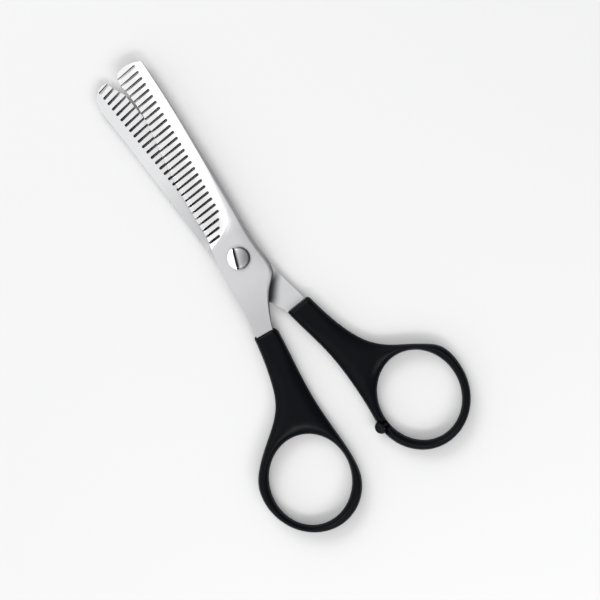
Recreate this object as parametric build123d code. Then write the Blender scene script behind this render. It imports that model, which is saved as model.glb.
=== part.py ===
from build123d import *
import os
from math import cos, hypot, radians, sin

# Thinning shears with two toothed blades, moulded finger-ring handles and a slotted pivot screw.
# Frame: the origin is on the pivot axis in the plane the shears lie on, +Y points to the tips
# along the line halfway between the blades, and +Z points up through the screw head.
# Each member is drawn closed, with its blade along +Y, and is then turned to its resting opening.
# A blade is drawn with its mating face on z = 0, its outer face above and its spine on +X. The
# back blade is that shape turned over about its length. Lengths are in mm and angles in degrees.

# ---- Assembly ----
REST_OPENING = 9.0            # angle between the two members as they lie
BLADE_THICKNESS = 2.75
BLADE_GAP = 0.10              # running gap between the mating faces
HANDLE_THICKNESS = 5.6
BACK_FACE_Z = BLADE_THICKNESS
FRONT_FACE_Z = BACK_FACE_Z + BLADE_GAP
TOP_FACE_Z = FRONT_FACE_Z + BLADE_THICKNESS
CUT_ALL = 40.0                # depth of a cut that goes right through
UP = (0, 0, 1)

# ---- Blade outlines ----
# The back line runs from the tip down the spine, round the corner and down the shank's inner side.
SHANK_END_Y = -27.0           # hidden end of the shank's shoulders, inside the collar
CORNER_AND_SHANK = [(7.4, -0.9), (7.9, -6.5), (7.3, -9.5), (4.5, -12.7), (1.7, -16.7), (-0.4, -21.2),
                    (-2.4, SHANK_END_Y)]
FRONT_BACK_LINE = [(4.75, 71.6), (5.8, 55.5), (6.5, 37.0), (7.0, 18.0)] + CORNER_AND_SHANK
FRONT_TIP_TOP = (-0.4, 73.2)
FRONT_EDGE = [(-4.2, 72.4), (-5.1, 71.0), (-4.8, 66.0), (-5.2, 40.0), (-5.8, 11.0)]
TIP_CORNER_R = 0.7
FRONT_SHANK_OUTER = [(-8.1, SHANK_END_Y), (-7.5, -19.0), (-7.2, -10.0), (-7.3, 0.0), (-6.7, 5.1),
                     (-5.8, 11.0)]
BACK_BACK_LINE = [(5.1, 64.0), (5.3, 45.0), (6.1, 24.0), (6.7, 6.9)] + CORNER_AND_SHANK
BACK_TIP = [(-2.3, 72.3), (0.4, 72.3), (3.0, 70.8), (4.5, 68.4), (5.1, 64.0)]
BACK_TIP_EDGE_SIDE = [(-2.3, 72.3), (-3.2, 68.9), (-4.6, 65.6)]
BACK_EDGE = [(-4.6, 65.6), (-5.2, 40.0), (-5.8, 11.0)]
BACK_SHANK_OUTER = [(-9.1, SHANK_END_Y), (-7.9, -17.5), (-7.2, -9.0), (-7.3, 0.0), (-6.7, 5.1),
                    (-5.8, 11.0)]
SPINE_ROUND_R = 1.2           # round over the outer face's spine edge

# ---- Teeth: each slot runs from a round root to the cutting edge ----
SLOT_COUNT = 28
SLOT_ROOT_WIDTH = 0.95
SLOT_MOUTH_WIDTH = 0.62
SLOT_REACH = 9.5              # from root to past the cutting edge
FRONT_COMB = dict(first_y=9.95, pitch=2.283, root_x=1.6, root_bow=0.35, knee_y=17.0, knee_slope=-0.52,
                  lean=7.0, lean_gain=2.7, lean_power=1)
BACK_COMB = dict(first_y=9.9, pitch=2.264, root_x=1.25, root_bow=0.15, knee_y=18.8, knee_slope=0.27,
                 lean=1.0, lean_gain=-10.5, lean_power=3)

# ---- Ground faces: the outer bevel and the shallow relief of the mating face ----
BEVEL_AT = (6.5, 34.0)        # where the bevel plane leaves the spine
BEVEL_TILT = 5.0              # falls towards the cutting edge
BEVEL_TAPER = 0.7             # falls towards the tip
BEVEL_START_Y = 14.0
BEVEL_RUNOUT_R = 32.0
RELIEF_AT = (1.9, 14.0)
RELIEF_TILT = 2.6             # falls towards the spine
RELIEF_START_Y = 12.0
SHANK_THIN_START_Y = -12.0    # the shank's outer face falls away towards the collar
SHANK_THIN_ANGLE = 3.0

# ---- Tang inside the handle ----
TANG_Z = 1.5                  # above the plane the shears lie on
TANG_THICKNESS = 2.6
FRONT_TANG = [(-7.2, -24.5), (-2.9, -24.5), (-3.6, -36.0), (-6.2, -47.5), (-8.6, -51.5), (-10.6, -49.9),
              (-8.4, -43.0), (-7.6, -36.0)]
BACK_TANG = [(-8.4, -24.5), (-3.6, -24.5), (-5.0, -36.0), (-8.0, -47.0), (-10.6, -50.6), (-12.6, -48.8),
             (-10.2, -42.0), (-8.9, -34.0)]
TANG_CORNER_R = 0.4
FRONT_LOCK_HOLE = (-7.6, -46.8)
BACK_LOCK_HOLE = (-9.6, -46.0)
LOCK_HOLE_R = 0.9

# ---- Handles ----
HANDLE_EDGE_R = 1.2
COLLAR_WIDEST = 12.0          # edges shorter than this belong to the collar's end, which stays crisp
FRONT_RING = dict(centre=(-16.5, -75.2), radii=(17.7, 16.2), turn=112.0)
FRONT_HOLE = dict(centre=(-16.0, -74.7), radii=(15.05, 13.6), turn=74.0)
FRONT_OUTER_SIDE = [(-8.9, -25.0), (-9.5, -31.0), (-10.9, -39.0), (-13.9, -48.0), (-18.8, -53.9),
                    (-23.5, -58.0), (-28.3, -62.7)]
FRONT_RING_SWEEP = (155, 365)
FRONT_INNER_SIDE = [(-0.9, -64.5), (-1.7, -54.0), (-1.5, -41.5), (-0.9, -31.5), (-0.7, -25.0)]
BACK_RING = dict(centre=(17.8, -72.15), radii=(18.3, 16.7), turn=73.5)
BACK_HOLE = dict(centre=(17.9, -72.2), radii=(15.2, 13.6), turn=80.7)
BACK_OUTER_SIDE = [(9.9, -23.7), (10.7, -30.5), (12.3, -38.7), (15.6, -47.3), (20.4, -53.0), (26.0, -57.2),
                   (30.6, -60.9)]
BACK_RING_SWEEP = (28, -172)
BACK_INNER_SIDE = [(2.0, -65.5), (3.0, -56.5), (3.4, -46.5), (2.6, -36.0), (1.7, -29.0), (1.2, -23.7)]
RING_STEP = 30

# ---- Pivot: screw, washer and their holes ----
SHOULDER_R = 2.50
SHOULDER_HOLE_R = 2.53
THREAD_R = 2.00
THREAD_HOLE_R = 2.03
THREAD_END_Z = 0.3
HEAD_R = 3.75
HEAD_BOTTOM_Z = 5.70
HEAD_RIM_HEIGHT = 0.75
HEAD_DOME_HEIGHT = 0.65
SCREW_SLOT_WIDTH = 0.70
SCREW_SLOT_DEPTH = 0.80
SCREW_SLOT_OFFSET = 1.07
SCREW_SLOT_LEAN = 20.4
WASHER_R = 3.45
WASHER_BORE_R = 2.55
WASHER_THICKNESS = 0.30
WASHER_POCKET_R = 3.55
WASHER_POCKET_DEPTH = 0.25

# ---- Bumper on the back ring ----
BUMPER_AT = (1.45, -72.6)      # where its axis leaves the ring
BUMPER_R = 2.2
BUMPER_SEAT_DEPTH = 0.5
BUMPER_STEM_R = 0.9
BUMPER_STEM_LENGTH = 1.7


def loop_face(*edges):
    """A flat face inside the closed loop that the edges make."""
    return make_face(Wire(Curve() + list(edges)))


def front_blade_outline():
    return loop_face(Spline(*FRONT_BACK_LINE), Line(FRONT_BACK_LINE[-1], FRONT_SHANK_OUTER[0]),
                     Spline(*FRONT_SHANK_OUTER), Spline(*reversed(FRONT_EDGE)),
                     ThreePointArc(FRONT_EDGE[0], FRONT_TIP_TOP, FRONT_BACK_LINE[0]))


def back_blade_outline():
    return loop_face(Spline(*BACK_BACK_LINE), Line(BACK_BACK_LINE[-1], BACK_SHANK_OUTER[0]),
                     Spline(*BACK_SHANK_OUTER), Spline(*reversed(BACK_EDGE)),
                     Spline(*reversed(BACK_TIP_EDGE_SIDE)), Spline(*BACK_TIP))


def slot_cutters(comb):
    """The slots of one comb, fanned from the pivot to the tip."""
    cutters = []
    for index in range(SLOT_COUNT):
        share = index / (SLOT_COUNT - 1)
        y = comb["first_y"] + comb["pitch"] * index
        lean = comb["lean"] + comb["lean_gain"] * share ** comb["lean_power"]
        bow = 4 * comb["root_bow"] * share * (1 - share)
        x = comb["root_x"] + bow + comb["knee_slope"] * max(0.0, comb["knee_y"] - y)
        y += (x - comb["root_x"]) * sin(radians(lean))
        root, mouth = SLOT_ROOT_WIDTH / 2, SLOT_MOUTH_WIDTH / 2
        taper = Polygon((0, root), (-SLOT_REACH, mouth), (-SLOT_REACH, -mouth), (0, -root), align=None)
        profile = Circle(root) + taper
        cutters.append(Location((x, y, 0), (0, 0, lean)) * extrude(profile, CUT_ALL / 2, both=True))
    return cutters


def ground_cutter(start_y, runout_r):
    """A block whose under side is flat past start_y and rises from there towards the pivot by an arc."""
    reach = 90.0
    rise = runout_r * (1 - cos(radians(35)))
    back = start_y - runout_r * sin(radians(35))
    arc_mid = (start_y - runout_r * sin(radians(17.5)), runout_r * (1 - cos(radians(17.5))))
    profile = make_face(Wire(Curve() + [
        Line((reach, 0), (start_y, 0)), ThreePointArc((start_y, 0), arc_mid, (back, rise)),
        Line((back, rise), (reach, rise)), Line((reach, rise), (reach, 0))]))
    return extrude(Plane.YZ * profile, CUT_ALL / 2, both=True)


def bevel_cutter():
    """Takes the outer face down towards the cutting edge and the tip."""
    x, y = BEVEL_AT
    cutter = Pos(0, -y, 0) * ground_cutter(BEVEL_START_Y, BEVEL_RUNOUT_R)
    return Location((x, y, BLADE_THICKNESS)) * Rot(-BEVEL_TAPER, 0, 0) * Rot(0, -BEVEL_TILT, 0) * cutter


def relief_cutter():
    """Takes a shallow wedge off the mating face between the tooth roots and the spine."""
    x, y = RELIEF_AT
    cutter = mirror(Pos(0, -y, 0) * ground_cutter(RELIEF_START_Y, BEVEL_RUNOUT_R), about=Plane.XY)
    return Location((x, y, 0)) * Rot(0, -RELIEF_TILT, 0) * cutter


def shank_thinner():
    """Slopes the shank's outer face down so that its collar can wrap over it."""
    block = Box(CUT_ALL, CUT_ALL, CUT_ALL, align=(Align.CENTER, Align.MAX, Align.MIN))
    return Location((0, SHANK_THIN_START_Y, BLADE_THICKNESS)) * Rot(SHANK_THIN_ANGLE, 0, 0) * block


def tang(outline, lock_hole):
    """The narrow tail moulded into a handle, level with the middle of the shears' thickness."""
    corners = Polygon(*outline, align=None)
    bar = extrude(fillet(corners.vertices(), TANG_CORNER_R), TANG_THICKNESS, dir=UP)
    lock = Location((*lock_hole, 0)) * Cylinder(LOCK_HOLE_R, CUT_ALL)
    return Pos(0, 0, TANG_Z - FRONT_FACE_Z) * bar - lock


def round_upright(blade, corner, radius):
    """Rounds the upright edge that stands nearest to a corner of the outline."""
    uprights = blade.edges().filter_by(Axis.Z)
    nearest = min(uprights, key=lambda edge: hypot((edge @ 0.5).X - corner[0], (edge @ 0.5).Y - corner[1]))
    return fillet(nearest, radius)


def forged_blade(outline, comb, tang_bar, sharp_corner=None):
    """One toothed blade, with its mating face on z = 0 and no pivot hole yet."""
    blank = extrude(outline, BLADE_THICKNESS, dir=UP)
    outer_rim = blank.edges().group_by(Axis.Z)[-1]
    back_edge = max(outer_rim, key=lambda edge: edge.length)
    blade = fillet(back_edge, SPINE_ROUND_R) - bevel_cutter() - shank_thinner() - relief_cutter()
    if sharp_corner:
        blade = round_upright(blade, sharp_corner, TIP_CORNER_R)
    return blade - slot_cutters(comb) + tang_bar


def place_front(shape):
    """Moves a shape drawn on the front member, closed, to where it lies at rest."""
    return Rot(0, 0, -REST_OPENING / 2) * shape


def place_back(shape):
    """Moves a shape drawn on the back member, closed, to where it lies at rest."""
    return Rot(0, 0, REST_OPENING / 2) * shape


def pivot_rod(radius, bottom_z, top_z):
    """A cylinder on the pivot axis between two heights."""
    on_base = (Align.CENTER, Align.CENTER, Align.MIN)
    return Pos(0, 0, bottom_z) * Cylinder(radius, top_z - bottom_z, align=on_base)


def front_blade():
    tang_bar = tang(FRONT_TANG, FRONT_LOCK_HOLE)
    blade = forged_blade(front_blade_outline(), FRONT_COMB, tang_bar, sharp_corner=FRONT_BACK_LINE[0])
    blade = Pos(0, 0, FRONT_FACE_Z) * blade
    blade -= pivot_rod(SHOULDER_HOLE_R, 0, CUT_ALL)
    blade -= pivot_rod(WASHER_POCKET_R, 0, FRONT_FACE_Z + WASHER_POCKET_DEPTH)
    return blade


def back_blade():
    blade = forged_blade(back_blade_outline(), BACK_COMB, tang(BACK_TANG, BACK_LOCK_HOLE))
    blade = Pos(0, 0, BACK_FACE_Z) * Rot(0, 180, 0) * blade
    return blade - pivot_rod(THREAD_HOLE_R, -1, CUT_ALL)


def ring_point(ring, angle):
    """The point of a leaning ellipse that lies in the given direction parameter."""
    (x, y), (long_r, short_r), turn = ring["centre"], ring["radii"], radians(ring["turn"])
    u, v = long_r * cos(radians(angle) - turn), short_r * sin(radians(angle) - turn)
    return (x + u * cos(turn) - v * sin(turn), y + u * sin(turn) + v * cos(turn))


def ring_handle(outer_side, ring, sweep, inner_side, hole):
    """A finger ring on its arm: one smooth outline round an oval hole, with rounded edges."""
    first, last = sweep
    steps = max(1, round(abs(last - first) / RING_STEP))
    round_end = [ring_point(ring, first + (last - first) * step / steps) for step in range(steps + 1)]
    side = Spline(*(outer_side + round_end + inner_side))
    body = extrude(loop_face(side, Line(inner_side[-1], outer_side[0])), HANDLE_THICKNESS, dir=UP)
    rims = [edge for edge in body.edges() if edge.length > COLLAR_WIDEST]
    body = fillet(rims, HANDLE_EDGE_R)
    opening = Location((*hole["centre"], 0), (0, 0, hole["turn"])) * Ellipse(*hole["radii"])
    return body - extrude(opening, CUT_ALL, both=True)


def front_handle(blade):
    handle = ring_handle(FRONT_OUTER_SIDE, FRONT_RING, FRONT_RING_SWEEP, FRONT_INNER_SIDE, FRONT_HOLE)
    return handle - blade


def back_handle(blade, bumper):
    handle = ring_handle(BACK_OUTER_SIDE, BACK_RING, BACK_RING_SWEEP, BACK_INNER_SIDE, BACK_HOLE)
    return handle - blade - bumper


def tension_screw():
    """Domed head with a slot to one side of its centre, a shoulder, and the thread as a plain shank."""
    head = pivot_rod(HEAD_R, HEAD_BOTTOM_Z, HEAD_BOTTOM_Z + HEAD_RIM_HEIGHT)
    dome_r = (HEAD_R ** 2 + HEAD_DOME_HEIGHT ** 2) / (2 * HEAD_DOME_HEIGHT)
    rim_top = HEAD_BOTTOM_Z + HEAD_RIM_HEIGHT
    dome = Pos(0, 0, rim_top + HEAD_DOME_HEIGHT - dome_r) * Sphere(dome_r)
    head += dome & pivot_rod(HEAD_R, rim_top, rim_top + HEAD_DOME_HEIGHT)
    top = HEAD_BOTTOM_Z + HEAD_RIM_HEIGHT + HEAD_DOME_HEIGHT
    slot = Box(SCREW_SLOT_WIDTH, CUT_ALL, 2 * SCREW_SLOT_DEPTH)
    head -= Location((0, 0, top), (0, 0, -SCREW_SLOT_LEAN)) * Pos(-SCREW_SLOT_OFFSET, 0, 0) * slot
    shoulder = pivot_rod(SHOULDER_R, BACK_FACE_Z, HEAD_BOTTOM_Z)
    return head + shoulder + pivot_rod(THREAD_R, THREAD_END_Z, BACK_FACE_Z)


def friction_washer():
    ring = pivot_rod(WASHER_R, BACK_FACE_Z, BACK_FACE_Z + WASHER_THICKNESS)
    return ring - pivot_rod(WASHER_BORE_R, 0, CUT_ALL)


def ring_bumper():
    """A domed stop on a stem, pressed into the back ring's inner side, pointing at the front ring."""
    dome = Sphere(BUMPER_R) & pivot_rod(BUMPER_R, 0, BUMPER_R)
    seat = pivot_rod(BUMPER_R, -BUMPER_SEAT_DEPTH, 0)
    stem = pivot_rod(BUMPER_STEM_R, -BUMPER_SEAT_DEPTH - BUMPER_STEM_LENGTH, -BUMPER_SEAT_DEPTH)
    return Location((*BUMPER_AT, HANDLE_THICKNESS / 2)) * Rot(0, -90, 0) * (dome + seat + stem)


def main():
    os.makedirs("parts", exist_ok=True)
    front, back, bumper = front_blade(), back_blade(), ring_bumper()
    nodes = {
        "front_blade": place_front(front),
        "front_handle": place_front(front_handle(front)),
        "back_blade": place_back(back),
        "back_handle": place_back(back_handle(back, bumper)),
        "ring_bumper": place_back(bumper),
        "tension_screw": tension_screw(),
        "friction_washer": friction_washer(),
    }
    for name, shape in nodes.items():
        export_step(shape, f"parts/{name}.step")


if __name__ == "__main__":
    main()
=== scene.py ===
"""Thinning shears: camera, studio, moulded handles and the finish of every surface."""
import math

import bmesh
import bpy
import numpy as np
from mathutils import Matrix, Vector
from mathutils.geometry import delaunay_2d_cdt


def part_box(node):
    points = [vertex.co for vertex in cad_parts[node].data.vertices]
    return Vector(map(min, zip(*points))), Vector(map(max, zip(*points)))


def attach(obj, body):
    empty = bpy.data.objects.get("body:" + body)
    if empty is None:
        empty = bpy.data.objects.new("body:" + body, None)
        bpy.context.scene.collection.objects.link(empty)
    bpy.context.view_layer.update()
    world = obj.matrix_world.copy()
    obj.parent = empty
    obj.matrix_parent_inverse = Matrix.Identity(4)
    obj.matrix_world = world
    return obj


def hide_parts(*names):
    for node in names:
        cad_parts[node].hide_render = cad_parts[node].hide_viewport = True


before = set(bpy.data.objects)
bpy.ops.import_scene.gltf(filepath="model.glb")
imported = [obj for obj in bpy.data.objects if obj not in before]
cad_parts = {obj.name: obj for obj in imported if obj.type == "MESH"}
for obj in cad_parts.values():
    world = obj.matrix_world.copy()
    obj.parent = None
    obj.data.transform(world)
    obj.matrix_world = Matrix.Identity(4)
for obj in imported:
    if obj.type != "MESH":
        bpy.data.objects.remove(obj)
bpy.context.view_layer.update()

MM = 0.001
REST_OPENING = 9.0                     # degrees between the two members as they lie
HANDLE_BOX = {node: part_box(node) for node in ("front_handle", "back_handle")}
THICKNESS = HANDLE_BOX["front_handle"][1][2] - HANDLE_BOX["front_handle"][0][2]
MID_Z = THICKNESS / 2


# ---- Camera, studio ----

AIM = (8.75 * MM, -22.6 * MM, MID_Z)   # middle of the picture
PICTURE_WIDTH = 197.4 * MM
VIEW_TURN = math.radians(-34.5)        # the shears lie slanted in the picture
LENS, SENSOR = 85.0, 36.0
PICTURE_RIGHT = Vector((math.cos(VIEW_TURN), math.sin(VIEW_TURN), 0))

# Brightness of the tent, from the left of the picture (0) to its right (1).
TENT_LEVELS = ((0.0, 1.25), (0.34, 1.45), (0.47, 1.12), (0.54, 0.92), (0.64, 0.55), (0.80, 0.30), (1.0, 0.60))
TENT_BLUE = 1.01
BOX_AZIMUTH, BOX_ELEVATION = -4.0, 42  # the two boxes shine along the slots' walls, not across them
BOX_DISTANCE, BOX_SIZE, BOX_POWER = 0.8, (0.6, 0.3), 3.2
CARD_AZIMUTH, CARD_ELEVATION = 214, 50  # gives the crescent above the front ring's hole
CARD_DISTANCE, CARD_SIZE, CARD_POWER = 0.7, (0.30, 0.10), 1.2
FLOOR_SIZE, FLOOR_DROP, FLOOR_GRAY = 4.0, 0.05 * MM, 0.54


def make_camera():
    data = bpy.data.cameras.new("camera")
    data.lens, data.sensor_width = LENS, SENSOR
    distance = PICTURE_WIDTH * LENS / SENSOR
    data.clip_start, data.clip_end = distance / 50, distance * 20
    camera = bpy.data.objects.new("camera", data)
    place = Matrix.Translation(Vector(AIM) + Vector((0, 0, distance)))
    camera.matrix_world = place @ Matrix.Rotation(VIEW_TURN, 4, "Z")
    bpy.context.scene.collection.objects.link(camera)
    bpy.context.scene.camera = camera


def area_light(name, azimuth, elevation, distance, size, power):
    """A soft card aimed at the middle of the picture, placed by its direction from there."""
    data = bpy.data.lights.new(name, "AREA")
    data.shape, data.size, data.size_y, data.energy = "RECTANGLE", size[0], size[1], power
    light = bpy.data.objects.new(name, data)
    turn, tilt = math.radians(azimuth), math.radians(elevation)
    away = Vector((math.cos(tilt) * math.sin(turn), math.cos(tilt) * math.cos(turn), math.sin(tilt)))
    light.location = Vector(AIM) + away * distance
    light.rotation_euler = away.to_track_quat("Z", "Y").to_euler()
    bpy.context.scene.collection.objects.link(light)


def make_studio():
    """A light tent, bright on the left of the picture and dark on its right, two boxes and a card."""
    scene = bpy.context.scene
    scene.view_settings.view_transform = "Standard"
    world = bpy.data.worlds.new("studio")
    world.use_nodes = True
    nodes, links = world.node_tree.nodes, world.node_tree.links
    background = nodes["Background"]
    background.inputs["Strength"].default_value = 1.0
    coords = nodes.new("ShaderNodeTexCoord")
    across = nodes.new("ShaderNodeVectorMath")
    across.operation = "DOT_PRODUCT"
    across.inputs[1].default_value = PICTURE_RIGHT
    spread = nodes.new("ShaderNodeMapRange")
    spread.inputs["From Min"].default_value, spread.inputs["From Max"].default_value = -1.0, 1.0
    ramp = nodes.new("ShaderNodeValToRGB")
    while len(ramp.color_ramp.elements) < len(TENT_LEVELS):
        ramp.color_ramp.elements.new(0.5)
    for element, (position, level) in zip(ramp.color_ramp.elements, TENT_LEVELS):
        element.position, element.color = position, (level, level, level * TENT_BLUE, 1)
    links.new(coords.outputs["Generated"], across.inputs[0])
    links.new(across.outputs["Value"], spread.inputs["Value"])
    links.new(spread.outputs["Result"], ramp.inputs["Fac"])
    links.new(ramp.outputs["Color"], background.inputs["Color"])
    scene.world = world
    area_light("far_box", BOX_AZIMUTH, BOX_ELEVATION, BOX_DISTANCE, BOX_SIZE, BOX_POWER)
    area_light("near_box", BOX_AZIMUTH + 180, BOX_ELEVATION, BOX_DISTANCE, BOX_SIZE, BOX_POWER)
    area_light("low_card", CARD_AZIMUTH, CARD_ELEVATION, CARD_DISTANCE, CARD_SIZE, CARD_POWER)


def make_floor():
    bpy.ops.mesh.primitive_plane_add(size=FLOOR_SIZE, location=(AIM[0], AIM[1], -FLOOR_DROP))
    floor = bpy.context.object
    floor.name = "floor"
    shader = principled("floor_paper", (FLOOR_GRAY,) * 3, roughness=0.9, specular=0.0)
    floor.data.materials.append(shader.material)


# ---- Material helpers ----

class Shader:
    """A node material in the making, with short calls for the nodes that it needs."""

    def __init__(self, name):
        self.material = bpy.data.materials.new(name)
        self.material.use_nodes = True
        self.tree = self.material.node_tree
        self.bsdf = self.tree.nodes["Principled BSDF"]

    def node(self, kind, **values):
        made = self.tree.nodes.new(kind)
        for key, value in values.items():
            if hasattr(made, key):
                setattr(made, key, value)
            else:
                made.inputs[key].default_value = value
        return made

    def link(self, source, target):
        self.tree.links.new(source, target)

    def coords(self, scale=(1, 1, 1), turn=0.0, kind="Object"):
        """Coordinates fixed to the piece, in millimetres, turned about Z and stretched."""
        source = self.node("ShaderNodeTexCoord")
        mapping = self.node("ShaderNodeMapping")
        mapping.inputs["Rotation"].default_value = (0, 0, math.radians(turn))
        mapping.inputs["Scale"].default_value = [value / MM for value in scale]
        self.link(source.outputs[kind], mapping.inputs["Vector"])
        return mapping.outputs["Vector"]

    def noise(self, vector, scale, detail=3.0, rough=0.5):
        made = self.node("ShaderNodeTexNoise", Scale=scale, Detail=detail, Roughness=rough)
        self.link(vector, made.inputs["Vector"])
        return made.outputs["Fac"]

    def math(self, operation, first, second=None, third=None, clamp=False):
        made = self.node("ShaderNodeMath", operation=operation, use_clamp=clamp)
        for index, value in enumerate((first, second, third)):
            if value is None:
                continue
            if isinstance(value, (int, float)):
                made.inputs[index].default_value = value
            else:
                self.link(value, made.inputs[index])
        return made.outputs[0]

    def step(self, value, low, high):
        """0 below low, 1 above high, smooth between."""
        made = self.node("ShaderNodeMapRange", interpolation_type="SMOOTHSTEP")
        made.inputs["From Min"].default_value, made.inputs["From Max"].default_value = low, high
        self.link(value, made.inputs["Value"])
        return made.outputs["Result"]

    def blend(self, factor, first, second):
        """Mixes two colours or two numbers."""
        made = self.node("ShaderNodeMix", data_type="RGBA")
        for socket, value in (("A", first), ("B", second)):
            target = next(i for i in made.inputs if i.name == socket and i.type == "RGBA")
            if isinstance(value, (int, float)):
                target.default_value = (value, value, value, 1)
            elif isinstance(value, tuple):
                target.default_value = (*value, 1)
            else:
                self.link(value, target)
        factor_socket = next(i for i in made.inputs if i.name == "Factor" and i.type == "VALUE")
        self.link(factor, factor_socket)
        return next(o for o in made.outputs if o.type == "RGBA")

    def bump(self, height, strength, distance, rounding=None, crisp=None):
        """Fine relief. rounding softens the edges, except where the mask crisp is 1."""
        made = self.node("ShaderNodeBump", Strength=strength, Distance=distance)
        self.link(height, made.inputs["Height"])
        if rounding:
            normal = self.node("ShaderNodeBevel", samples=6, Radius=rounding).outputs["Normal"]
            if crisp:
                mix = self.node("ShaderNodeMix", data_type="VECTOR")
                plain = self.node("ShaderNodeNewGeometry").outputs["Normal"]
                sockets = {(item.name, item.type): item for item in mix.inputs}
                self.link(crisp, sockets["Factor", "VALUE"])
                self.link(normal, sockets["A", "VECTOR"])
                self.link(plain, sockets["B", "VECTOR"])
                normal = next(item for item in mix.outputs if item.type == "VECTOR")
            self.link(normal, made.inputs["Normal"])
        self.link(made.outputs["Normal"], self.bsdf.inputs["Normal"])


def principled(name, color, metallic=0.0, roughness=0.5, specular=0.5):
    shader = Shader(name)
    shader.bsdf.inputs["Base Color"].default_value = (*color, 1)
    shader.bsdf.inputs["Metallic"].default_value = metallic
    shader.bsdf.inputs["Roughness"].default_value = roughness
    shader.bsdf.inputs["Specular IOR Level"].default_value = specular
    return shader


def give(node, shader):
    """Puts a material on a CAD node in place of its packed one."""
    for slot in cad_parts[node].material_slots:
        slot.material = shader.material


# ---- Steel ----

def member_split(shader, turn, kind):
    """X, Y and Z of a point or a normal, along the member's own closed axes."""
    source = shader.node("ShaderNodeTexCoord")
    rotate = shader.node("ShaderNodeVectorRotate", rotation_type="Z_AXIS")
    rotate.inputs["Angle"].default_value = math.radians(turn)
    shader.link(source.outputs[kind], rotate.inputs["Vector"])
    split = shader.node("ShaderNodeSeparateXYZ")
    shader.link(rotate.outputs["Vector"], split.inputs[0])
    return split.outputs["X"], split.outputs["Y"], split.outputs["Z"]


def upright(shader):
    """1 on level faces, 0 on vertical walls."""
    return shader.math("ABSOLUTE", member_split(shader, 0.0, "Normal")[2])


def place_mm(shader, turn, side=1):
    """X and Y in mm along a member's closed axes, with X flipped where side is -1."""
    px, py, _ = member_split(shader, turn, "Object")
    return shader.math("MULTIPLY", px, side / MM), shader.math("DIVIDE", py, MM)


def inverse(shader, value):
    return shader.math("SUBTRACT", 1.0, value)


def curve(shader, value, points):
    """Straight lines through the points, over a value in mm; both axes are scaled to 0..1."""
    lows = [min(point[axis] for point in points) for axis in (0, 1)]
    highs = [max(point[axis] for point in points) for axis in (0, 1)]
    node = shader.node("ShaderNodeFloatCurve")
    line = node.mapping.curves[0]
    scaled = [[(point[axis] - lows[axis]) / (highs[axis] - lows[axis]) for axis in (0, 1)]
              for point in points]
    while len(line.points) < len(scaled):
        line.points.new(0.5, 0.5)
    for target, place in zip(line.points, sorted(scaled)):
        target.location = place
        target.handle_type = "VECTOR"
    node.mapping.update()
    past_low = shader.math("SUBTRACT", value, lows[0])
    share = shader.math("DIVIDE", past_low, highs[0] - lows[0], clamp=True)
    shader.link(share, node.inputs["Value"])
    return shader.math("MULTIPLY_ADD", node.outputs["Value"], highs[1] - lows[1], lows[1])


# Lines on the front blade: x of its back edge and of the polished comb's edge, at each y, in mm.
FRONT_SPINE = [(-27.0, -2.4), (-21.2, -0.4), (-16.7, 1.7), (-12.7, 4.5), (-9.5, 7.3), (-6.5, 7.9),
               (-0.9, 7.4), (18.0, 7.0), (37.0, 6.5), (55.5, 5.8), (71.6, 4.75)]
FRONT_GRIND = [(5.0, -8.0), (7.0, -3.5), (8.5, 0.0), (10.0, 2.3), (12.0, 3.7), (17.0, 4.7), (22.0, 5.0),
               (28.0, 5.4), (34.0, 5.7), (41.0, 6.1), (50.0, 6.8), (73.0, 7.5)]
GRIND_SOFTNESS = 0.9
# Painted shade at the spine's edge: its width at each y, in mm, and its strength, stronger along the shank.
SPINE_SHADE = [(-12.0, 0.5), (10.0, 0.8), (22.0, 1.3), (38.0, 1.0), (55.0, 0.5), (72.0, 0.4)]
SPINE_DARK_SHANK, SPINE_DARK_DROP = 0.75, -0.62

# Painted light and shade: gray of the satin steel at each y, in mm, lighter and darker along the blade where
# its reflections fall.
FRONT_PAINTED_SHADING = [(-26.0, 0.39), (-20.0, 0.41), (-8.0, 0.495), (8.0, 0.495), (12.0, 0.58), (40.0, 0.62)]
BACK_PAINTED_SHADING = [(-27.0, 0.45), (-8.0, 0.465), (4.0, 0.515), (9.0, 0.42), (14.0, 0.39), (20.0, 0.415),
             (28.0, 0.45), (36.0, 0.51), (44.0, 0.52), (56.0, 0.50), (72.0, 0.485)]
FRONT_TINT, BACK_TINT = (1.0, 0.99, 1.015), (0.995, 1.0, 1.005)
ASIDE_PAINTED_SHADE = -0.24                     # painted shade: the ricasso darkens towards its spine
# Gray of the polished comb, rising from its edge to the spine: real polish plus a painted sheen.
POLISH_SHEEN_EDGE, POLISH_SHEEN_SPINE = 0.57, 0.79
# Back teeth: polished, and brighter by painted light.
BACK_TEETH_POLISH_AND_SHEEN = (0.56, 0.56, 0.565)
# Random clouds in the steel; walls painted dark as painted shade.
CLOUD_GRAY, WALL_SHADE_GRAY = (0.5, 0.5, 0.52), (0.05, 0.05, 0.053)
# Painted shade at the spine's edge, and nearly black painted shade on the slots' walls.
SHADE_GRAY, SLOT_SHADE_GRAY = (0.02, 0.02, 0.022), (0.004, 0.004, 0.005)
FRONT_ROUGH, BACK_ROUGH = 0.36, 0.44


def gray(shader, value, tint):
    color = shader.node("ShaderNodeCombineXYZ")
    for index, share in enumerate(tint):
        shader.link(shader.math("MULTIPLY", value, share), color.inputs[index])
    return color.outputs[0]


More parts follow.
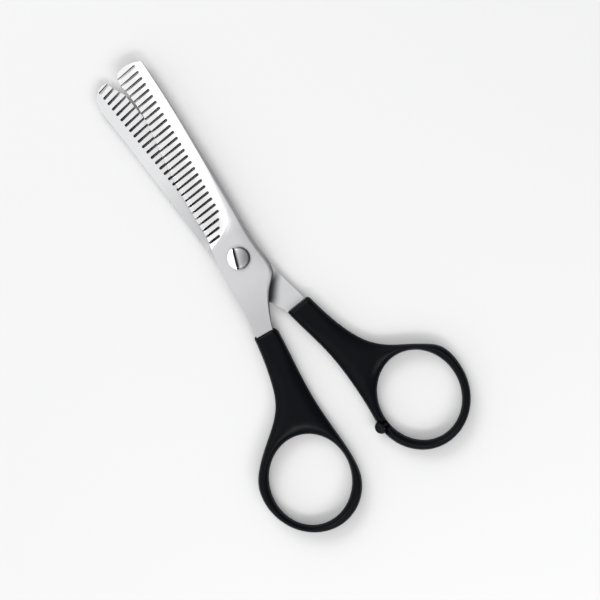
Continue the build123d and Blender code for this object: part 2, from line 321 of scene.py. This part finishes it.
def front_blade_steel():
    """Satin steel with painted light and shade: gray along and across the blade, painted shade at the spine's
    edge, and a polished comb with a painted sheen.
    """
    shader = principled("front_blade_steel", SHADE_GRAY, metallic=1.0)
    px, py = place_mm(shader, REST_OPENING / 2)
    up = upright(shader)
    past = shader.math("SUBTRACT", px, curve(shader, py, FRONT_GRIND))
    ground = inverse(shader, shader.step(past, -GRIND_SOFTNESS, GRIND_SOFTNESS))
    ground = shader.math("MULTIPLY", ground, shader.step(up, 0.9, 0.95))
    # Painted shade along the spine's edge, stronger on the shank.
    to_spine = shader.math("SUBTRACT", curve(shader, py, FRONT_SPINE), px)
    share = shader.math("DIVIDE", to_spine, curve(shader, py, SPINE_SHADE))
    shade = inverse(shader, shader.step(share, 0.0, 1.0))
    deep = shader.math("MULTIPLY_ADD", shader.step(py, -7.0, -1.0), SPINE_DARK_DROP, SPINE_DARK_SHANK)
    # Painted shade towards the ricasso's spine.
    aside_shade = shader.math("MULTIPLY", shader.step(px, 1.5, 7.5), shader.step(py, -12.0, 2.0))
    aside_shade = shader.math("MULTIPLY_ADD", aside_shade, ASIDE_PAINTED_SHADE, 1.0)
    # Painted light and shade along the blade.
    painted_gray = shader.math("MULTIPLY", curve(shader, py, FRONT_PAINTED_SHADING), aside_shade)
    # Polished comb with a painted sheen, brighter towards the spine.
    polish_and_sheen = shader.blend(shader.step(px, -1.0, 3.6), POLISH_SHEEN_EDGE, POLISH_SHEEN_SPINE)
    finish_steel(shader, px, py, up, ground, gray(shader, painted_gray, FRONT_TINT), polish_and_sheen,
                 REST_OPENING / 2, FRONT_ROUGH, shader.math("MULTIPLY", shade, deep))
    return shader


def back_blade_steel():
    """Satin steel with painted light and shade along the blade, teeth brighter by their polish and by painted
    light, and a nearly black painted shadow in the corner beside the front shank.
    """
    shader = principled("back_blade_steel", SHADE_GRAY, metallic=1.0)
    px, py = place_mm(shader, -REST_OPENING / 2, side=-1)
    up = upright(shader)
    # Teeth: polished, and brighter by painted light.
    teeth = shader.math("MULTIPLY", inverse(shader, shader.step(px, 1.2, 2.2)), shader.step(py, 8.0, 9.0))
    rest_x, rest_y = place_mm(shader, REST_OPENING / 2)
    # Painted shadow, nearly black, on the back shank in the corner beside the front shank as the shears lie
    # at rest.
    away = shader.math("SUBTRACT", rest_x, curve(shader, rest_y, FRONT_SPINE))
    beside = shader.math("MULTIPLY", shader.step(rest_y, -21.0, -16.5),
                         inverse(shader, shader.step(rest_y, -12.5, -8.0)))
    corner = shader.math("MULTIPLY", beside, inverse(shader, shader.step(away, 0.5, 4.8)))
    # Painted light and shade along the blade, darkened further by the painted corner shadow.
    painted_gray = shader.math("MULTIPLY", curve(shader, py, BACK_PAINTED_SHADING), inverse(shader, corner))
    finish_steel(shader, px, py, up, teeth, gray(shader, painted_gray, BACK_TINT), BACK_TEETH_POLISH_AND_SHEEN,
                 -REST_OPENING / 2, BACK_ROUGH)
    return shader


def finish_steel(shader, px, py, up, polished, satin_shaded_color, polished_sheen_color, turn, rough, shade=None):
    """Grain, clouds and fine scratches, walls darkened as painted shade, nearly black painted shade in the
    slots, and softened edges.
    """
    grain = shader.noise(shader.coords((0.06, 2.4, 0.5), turn=turn), 1.6, detail=4.0)
    cloud = shader.noise(shader.coords((0.09, 0.05, 0.1), turn=turn), 1.0, detail=2.0)
    scratch = shader.noise(shader.coords((2.2, 0.05, 0.5), turn=turn + 12), 1.2, detail=5.0, rough=0.7)
    steep = inverse(shader, shader.step(up, 0.25, 0.4))
    in_comb = shader.math("MULTIPLY", shader.step(py, 7.0, 7.6), inverse(shader, shader.step(px, 3.6, 4.2)))
    in_comb = shader.math("MULTIPLY", in_comb, shader.step(px, -4.7, -4.2))
    in_slot = shader.math("MULTIPLY", steep, in_comb)
    toned = shader.blend(polished, satin_shaded_color, polished_sheen_color)
    toned = shader.blend(shader.math("MULTIPLY", cloud, 0.10), toned, CLOUD_GRAY)
    # Painted shade: walls darkened.
    toned = shader.blend(shader.math("MULTIPLY", steep, 0.85), toned, WALL_SHADE_GRAY)
    if shade:
        toned = shader.blend(shade, toned, SHADE_GRAY)
    # Painted shade: the slots' walls nearly black.
    shader.link(shader.blend(in_slot, toned, SLOT_SHADE_GRAY), shader.bsdf.inputs["Base Color"])
    metal = inverse(shader, shader.math("MULTIPLY", in_slot, 0.8))
    shader.link(metal, shader.bsdf.inputs["Metallic"])
    rough = shader.math("SUBTRACT", rough, shader.math("MULTIPLY", polished, 0.10))
    rough = shader.math("MULTIPLY_ADD", grain, 0.10, rough)
    rough = shader.math("MULTIPLY_ADD", scratch, 0.05, rough)
    rough = shader.math("MULTIPLY_ADD", in_slot, 0.5, rough, clamp=True)
    shader.link(rough, shader.bsdf.inputs["Roughness"])
    height = shader.math("ADD", grain, shader.math("MULTIPLY", scratch, 0.5))
    shader.bump(height, 0.12, 0.02 * MM, rounding=0.25 * MM, crisp=in_comb)


SCREW_SLOT_LEAN, SCREW_SLOT_OFFSET = 20.4, 1.07
SCREW_RADIUS = 3.75
SCREW_SLOT_FLOOR = (6.36, 6.40)        # heights, in mm, between the slot's floor and the head's face
# Painted reflections on the head: a highlight on the narrow side, gray on the wide side, dark at the rim, and
# painted shade in the slot.
SCREW_HIGHLIGHT_SIDE, SCREW_GRAY_REFLECTION_SIDE = (0.88, 0.88, 0.89), (0.46, 0.46, 0.475)
SCREW_RIM_REFLECTION, SCREW_SLOT_SHADE = (0.10, 0.10, 0.105), (0.02, 0.02, 0.023)


def screw_steel():
    """Polished steel with painted reflections: a painted highlight on the slot's narrow side, grayer on the
    wide one with a painted dark reflection at its rim, and painted shade in the slot.
    """
    shader = principled("screw_steel", SCREW_GRAY_REFLECTION_SIDE, metallic=1.0)
    across, along = place_mm(shader, SCREW_SLOT_LEAN)
    height = shader.math("DIVIDE", member_split(shader, 0.0, "Object")[2], MM)
    steep = inverse(shader, shader.step(upright(shader), 0.55, 0.75))
    # Painted shade on the slot's walls and floor.
    shade_mask = shader.math("MAXIMUM", steep, inverse(shader, shader.step(height, *SCREW_SLOT_FLOOR)))
    radius = shader.math("SQRT", shader.math("ADD", shader.math("MULTIPLY", across, across),
                                             shader.math("MULTIPLY", along, along)))
    slot = -SCREW_SLOT_OFFSET
    # Painted highlight on the narrow side; painted dark reflection at the rim and beside the slot on the wide
    # side.
    wide_side = shader.step(across, slot, slot + 0.1)
    dark_rim = shader.math("MAXIMUM", shader.step(radius, SCREW_RADIUS - 0.95, SCREW_RADIUS - 0.35),
                       inverse(shader, shader.step(across, slot + 0.3, slot + 1.0)))
    turned_steel = shader.noise(shader.coords((1.5, 1.5, 1.5)), 1.5, detail=3.0)
    wide = shader.blend(dark_rim, SCREW_GRAY_REFLECTION_SIDE, SCREW_RIM_REFLECTION)
    face = shader.blend(wide_side, SCREW_HIGHLIGHT_SIDE, wide)
    shader.link(shader.blend(shade_mask, face, SCREW_SLOT_SHADE), shader.bsdf.inputs["Base Color"])
    shader.link(shader.math("MULTIPLY_ADD", turned_steel, 0.12, 0.16), shader.bsdf.inputs["Roughness"])
    shader.bump(turned_steel, 0.12, 0.02 * MM, rounding=0.1 * MM)
    return shader


# ---- Plastics ----

def handle_plastic():
    shader = principled("handle_plastic", (0.0014, 0.0019, 0.0028), roughness=0.3, specular=0.055)
    pores = shader.noise(shader.coords((1, 1, 1)), 3.0, detail=4.0, rough=0.6)
    broad = shader.noise(shader.coords((1, 1, 1)), 0.12, detail=2.0)
    shader.link(shader.math("MULTIPLY_ADD", broad, 0.14, 0.24), shader.bsdf.inputs["Roughness"])
    facing = shader.node("ShaderNodeLayerWeight", Blend=0.5).outputs["Facing"]
    shader.link(shader.math("MULTIPLY_ADD", facing, -0.055, 0.062), shader.bsdf.inputs["Specular IOR Level"])
    shader.bump(pores, 0.10, 0.02 * MM)
    return shader


def bumper_rubber():
    shader = principled("bumper_rubber", (0.0025, 0.0027, 0.0034), roughness=0.55, specular=0.08)
    grain = shader.noise(shader.coords((1, 1, 1)), 5.0, detail=4.0)
    shader.link(shader.math("MULTIPLY_ADD", grain, 0.2, 0.45), shader.bsdf.inputs["Roughness"])
    shader.bump(grain, 0.2, 0.03 * MM)
    return shader


def washer_nylon():
    shader = principled("washer_nylon", (0.82, 0.80, 0.74), roughness=0.5)
    grain = shader.noise(shader.coords((1, 1, 1)), 2.0, detail=3.0)
    shader.link(shader.blend(grain, (0.84, 0.82, 0.76), (0.76, 0.74, 0.68)), shader.bsdf.inputs["Base Color"])
    return shader


# ---- Moulded handles ----

SEAM_WIDTH, SEAM_HALF = 0.08, 0.05     # the parting line's ridge, in mm
COLLAR_ROUND = 0.45
HOLE_ROUND = (1.5, 5.0)
PROFILE_STEPS = 9
BOUNDARY_SPACING, INNER_SPACING = 0.55, 0.9
EDGE_REACH = 1.5                       # how far in from an edge the close rings of points go
CLEARANCE = 0.2                        # between points of different sets
CORNER_REACH = 4                       # points from a collar corner to where its side's direction is read


def section_loops(node, height):
    """Closed loops, in mm, where a level plane cuts a CAD node, largest first."""
    mesh = bmesh.new()
    mesh.from_mesh(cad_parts[node].data)
    bmesh.ops.remove_doubles(mesh, verts=mesh.verts, dist=1e-7)
    cut = bmesh.ops.bisect_plane(mesh, geom=mesh.verts[:] + mesh.edges[:] + mesh.faces[:],
                                 plane_co=(0, 0, height), plane_no=(0, 0, 1))["geom_cut"]
    edges = [item for item in cut if isinstance(item, bmesh.types.BMEdge)]
    links = {}
    for edge in edges:
        first, second = edge.verts
        links.setdefault(first, []).append(second)
        links.setdefault(second, []).append(first)
    loops, left = [], set(links)
    while left:
        start = min(left, key=lambda vert: tuple(vert.co))
        chain, previous, here = [start], None, start
        while True:
            ahead = [vert for vert in links[here] if vert is not previous]
            previous, here = here, ahead[0]
            if here is start:
                break
            chain.append(here)
        left -= set(chain)
        loops.append(np.array([vert.co[:2] for vert in chain]) / MM)
    mesh.free()
    return sorted(loops, key=lambda loop: -np.ptp(loop, axis=0).sum())


def turned(points, degrees):
    angle = math.radians(degrees)
    cos, sin = math.cos(angle), math.sin(angle)
    return points @ np.array([[cos, sin], [-sin, cos]])


def resampled(points, spacing, closed):
    """Evenly spaced points on a smooth curve through the given ones."""
    count = len(points)
    if closed:
        padded = np.vstack([points[-1:], points, points[:2]])
        spans = count
    else:
        padded = np.vstack([2 * points[:1] - points[1:2], points, 2 * points[-1:] - points[-2:-1]])
        spans = count - 1
    fine = []
    for span in range(spans):
        before, start, end, after = padded[span:span + 4]
        share = np.linspace(0, 1, 12, endpoint=False)[:, None]
        chord = np.linalg.norm(end - start)
        enter = (end - before) / (chord + np.linalg.norm(start - before)) * chord
        leave = (after - start) / (chord + np.linalg.norm(after - end)) * chord
        fine.append((2 * share**3 - 3 * share**2 + 1) * start + (share**3 - 2 * share**2 + share) * enter
                    + (-2 * share**3 + 3 * share**2) * end + (share**3 - share**2) * leave)
    fine = np.vstack(fine + [points[:1] if closed else points[-1:]])
    travelled = np.concatenate([[0], np.cumsum(np.linalg.norm(np.diff(fine, axis=0), axis=1))])
    steps = max(int(round(travelled[-1] / spacing)), 2)
    at = np.linspace(0, travelled[-1], steps + 1)
    even = np.column_stack([np.interp(at, travelled, fine[:, axis]) for axis in (0, 1)])
    return even[:-1] if closed else even


def rounded_corner(before, corner, after, radius):
    """Points on the arc that rounds a corner between two directions."""
    back = (before - corner) / np.linalg.norm(before - corner)
    ahead = (after - corner) / np.linalg.norm(after - corner)
    half = math.acos(np.clip(back @ ahead, -1, 1)) / 2
    reach = radius / math.tan(half)
    centre = corner + (back + ahead) / np.linalg.norm(back + ahead) * radius / math.sin(half)
    first, last = corner + back * reach, corner + ahead * reach
    angles = [math.atan2(*(point - centre)[::-1]) for point in (first, last)]
    sweep = (angles[1] - angles[0] + math.pi) % (2 * math.pi) - math.pi
    turn = angles[0] + sweep * np.linspace(0, 1, 9)
    return centre + radius * np.column_stack([np.cos(turn), np.sin(turn)])


def handle_outline(node, turn, corner_radii):
    """Outer outline and finger hole in the member's closed frame, with the collar's end bridged."""
    loops = section_loops(node, MID_Z)
    outer, hole = turned(loops[0], turn), turned(loops[1], turn)
    collar = np.flatnonzero(outer[:, 1] > outer[:, 1].max() - 0.05)
    left = collar[np.argmin(outer[collar, 0])]
    right = collar[np.argmax(outer[collar, 0])]
    ring = int(np.argmin(outer[:, 1]))
    walk = np.roll(np.arange(len(outer)), -left)
    if list(walk).index(right) < list(walk).index(ring):
        walk = np.concatenate([walk[:1], walk[:0:-1]])
    walk = walk[:list(walk).index(right) + 1]
    side = resampled(outer[walk], BOUNDARY_SPACING, closed=False)
    starts, ends = side[0].copy(), side[-1].copy()
    at_start = rounded_corner(ends, starts, side[CORNER_REACH], corner_radii[0])
    at_end = rounded_corner(side[-1 - CORNER_REACH], ends, starts, corner_radii[1])
    keep = np.linalg.norm(side - starts, axis=1) > np.linalg.norm(at_start[-1] - starts) + CLEARANCE
    keep &= np.linalg.norm(side - ends, axis=1) > np.linalg.norm(at_end[0] - ends) + CLEARANCE
    across = np.linspace(at_end[-1], at_start[0], 14)[1:-1]
    outline = np.vstack([at_start, side[keep], at_end, across])
    return outline, resampled(hole, BOUNDARY_SPACING, closed=True), starts[1]


def distance_to(points, loop, chunk=2000):
    """Distance from each point to a closed polygon."""
    start, end = loop, np.roll(loop, -1, axis=0)
    step = end - start
    length = np.maximum((step**2).sum(1), 1e-12)
    out = np.empty(len(points))
    for first in range(0, len(points), chunk):
        part = points[first:first + chunk, None, :]
        share = np.clip(((part - start) * step).sum(2) / length, 0, 1)
        out[first:first + chunk] = np.linalg.norm(part - (start + share[..., None] * step), axis=2).min(1)
    return out


def is_inside(points, loop):
    x, y = points[:, :1], points[:, 1:]
    x0, y0 = loop[:, 0], loop[:, 1]
    x1, y1 = np.roll(x0, -1), np.roll(y0, -1)
    crosses = (y0 > y) != (y1 > y)
    with np.errstate(divide="ignore", invalid="ignore"):
        at = x0 + (y - y0) * (x1 - x0) / (y1 - y0)
    return (crosses & (x < at)).sum(1) % 2 == 1


def quarter(share):
    return np.sqrt(np.clip(1 - (1 - np.clip(share, 0, 1))**2, 0, 1))


def smooth(value, low, high):
    share = np.clip((value - low) / (high - low), 0, 1)
    return share * share * (3 - 2 * share)


def handle_height(points, outline, hole, collar_y):
    """Half thickness, in mm, of the moulded body at each point of its plan."""
    outer, inner = distance_to(points, outline), distance_to(points, hole)
    collar = np.maximum(collar_y - points[:, 1], 0)
    wall = outer + inner
    arm = 1.5 + 2.4 * smooth(collar, 4, 22)
    outer_round = np.maximum(np.minimum(arm, 0.5 * wall), 0.5)
    hole_round = np.clip(0.55 * wall, *HOLE_ROUND)
    body = quarter((outer - SEAM_WIDTH) / outer_round) * quarter((inner - SEAM_WIDTH) / hole_round)
    body *= quarter(collar / COLLAR_ROUND)
    return np.maximum(body * THICKNESS / MM / 2, SEAM_HALF)


def offset_loops(loop, towards, reach):
    """Copies of a loop moved into the plastic, close together where the surface is steep."""
    ahead, behind = np.roll(loop, -1, axis=0), np.roll(loop, 1, axis=0)
    along = ahead - behind
    normal = np.column_stack([-along[:, 1], along[:, 0]])
    normal /= np.linalg.norm(normal, axis=1)[:, None]
    area = (loop[:, 0] * ahead[:, 1] - ahead[:, 0] * loop[:, 1]).sum()
    if (area > 0) != towards:
        normal = -normal
    angles = np.linspace(0, math.pi / 2, PROFILE_STEPS)[1:]
    depths = [SEAM_WIDTH * 0.999] + [SEAM_WIDTH + reach * (1 - math.cos(angle)) for angle in angles]
    rings = []
    for depth in depths:
        ring = loop + normal * depth
        rings.append(ring[distance_to(ring, loop) > depth * 0.97])
    return np.vstack(rings), depths[-1]


def moulded_handle(name, node, turn, corner_radii, body):
    """The handle's final shape, domed above and below a level plan, on the CAD handle's outline."""
    outline, hole, collar_y = handle_outline(node, turn, corner_radii)
    near_outer, outer_depth = offset_loops(outline, True, EDGE_REACH)
    near_hole, hole_depth = offset_loops(hole, False, EDGE_REACH)
    near_outer = near_outer[distance_to(near_outer, hole) > SEAM_WIDTH + CLEARANCE]
    near_hole = near_hole[is_inside(near_hole, outline)]
    near_hole = near_hole[distance_to(near_hole, outline) > SEAM_WIDTH + CLEARANCE]
    low, high = outline.min(0), outline.max(0)
    across, along = np.meshgrid(*(np.arange(low[axis], high[axis], INNER_SPACING) for axis in (0, 1)))
    grid = np.column_stack([across.ravel(), along.ravel()])
    grid = grid[is_inside(grid, outline) & ~is_inside(grid, hole)]
    grid = grid[distance_to(grid, outline) > outer_depth + 0.3]
    grid = grid[distance_to(grid, hole) > hole_depth + 0.3]
    points = np.vstack([outline, hole, near_outer, near_hole, grid])
    edges = [(i, (i + 1) % len(outline)) for i in range(len(outline))]
    edges += [(len(outline) + i, len(outline) + (i + 1) % len(hole)) for i in range(len(hole))]
    flat, _, triangles, _, _, _ = delaunay_2d_cdt([Vector(p) for p in points], edges, [], 0, 1e-5)
    flat = np.array([v[:] for v in flat])
    triangles = np.array(triangles)
    middle = flat[triangles].mean(1)
    triangles = triangles[is_inside(middle, outline) & ~is_inside(middle, hole)]
    height = handle_height(flat, outline, hole, collar_y)
    rim = len(outline) + len(hole)
    placed = turned(flat, -turn) * MM
    count = len(flat)
    top = np.column_stack([placed, MID_Z + height * MM])
    bottom = np.column_stack([placed, MID_Z - height * MM])
    faces = [tuple(face) for face in triangles]
    faces += [tuple(face[::-1] + count) for face in triangles]
    faces += [(a + count, b + count, b, a) for a, b in edges]
    mesh = bpy.data.meshes.new(name)
    mesh.from_pydata(np.vstack([top, bottom]).tolist(), [], faces)
    mesh.polygons.foreach_set("use_smooth", [True] * len(faces))
    checked = bmesh.new()
    checked.from_mesh(mesh)
    bmesh.ops.recalc_face_normals(checked, faces=checked.faces)
    checked.to_mesh(mesh)
    checked.free()
    piece = bpy.data.objects.new(name, mesh)
    bpy.context.scene.collection.objects.link(piece)
    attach(piece, body)
    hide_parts(node)
    return piece


# ---- Run ----

make_camera()
make_studio()
make_floor()
give("front_blade", front_blade_steel())
give("back_blade", back_blade_steel())
give("tension_screw", screw_steel())
give("ring_bumper", bumper_rubber())
give("friction_washer", washer_nylon())
PLASTIC = handle_plastic()
FRONT_HANDLE = moulded_handle("moulded_front_handle", "front_handle", REST_OPENING / 2,
                              (0.9, 2.2), "front_half")
BACK_HANDLE = moulded_handle("moulded_back_handle", "back_handle", -REST_OPENING / 2,
                             (0.6, 1.3), "back_half")
for handle in (FRONT_HANDLE, BACK_HANDLE):
    handle.data.materials.append(PLASTIC.material)
